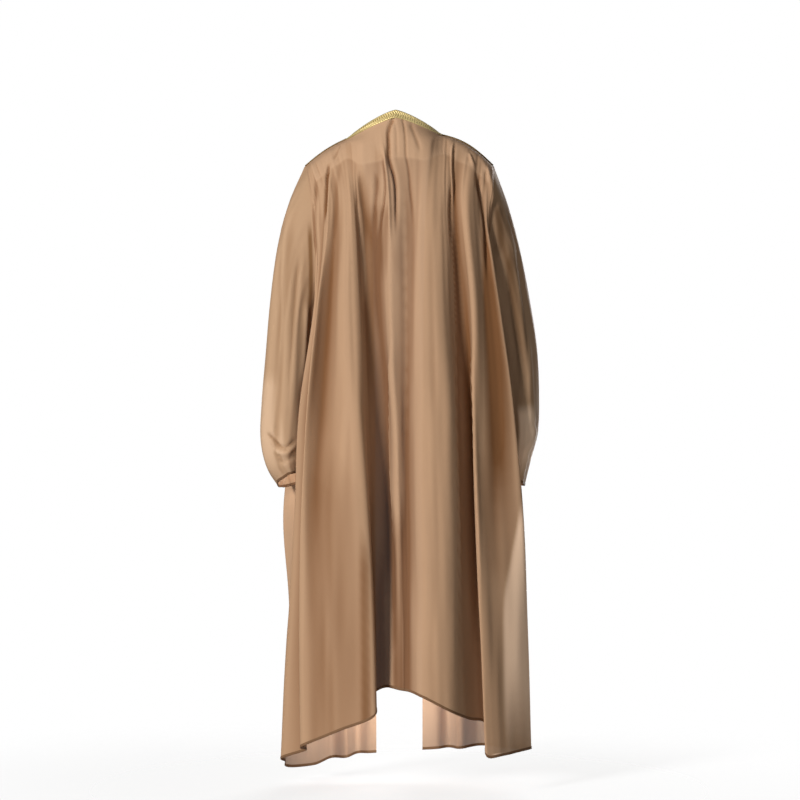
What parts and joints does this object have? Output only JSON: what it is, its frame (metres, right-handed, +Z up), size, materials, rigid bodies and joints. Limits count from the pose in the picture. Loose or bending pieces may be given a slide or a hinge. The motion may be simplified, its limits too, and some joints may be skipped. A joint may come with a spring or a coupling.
{
  "type": "bisht (men's open-front cloak)",
  "caption": "Full-length open-front cloak of light sheer cloth with wide tapering sleeves, a gold braid round the neck and down the fronts, and cord on the shoulder seams.",
  "frame": {"origin": "between the two neck points, at the height where the cloak lies on the shoulders", "axes": "+X to the wearer's left, -Y to the wearer's front, +Z up"},
  "size_m": [0.674, 0.4525, 1.5932],
  "materials": {
    "cloth": "matte, slightly see-through camel cloth",
    "yoke": "matte, the same cloth as the panels",
    "gold": "metal-thread braid, satin gold"
  },
  "bodies": {
    "root": {"back": "cloth", "front_left": "cloth", "front_right": "cloth", "sleeve_left": "cloth", "sleeve_right": "cloth", "yoke_facing": "yoke", "neck_braid": "gold", "front_braid_left": "gold", "front_braid_right": "gold", "shoulder_piping_left": "gold", "shoulder_piping_right": "gold"}
  },
  "joints": []
}
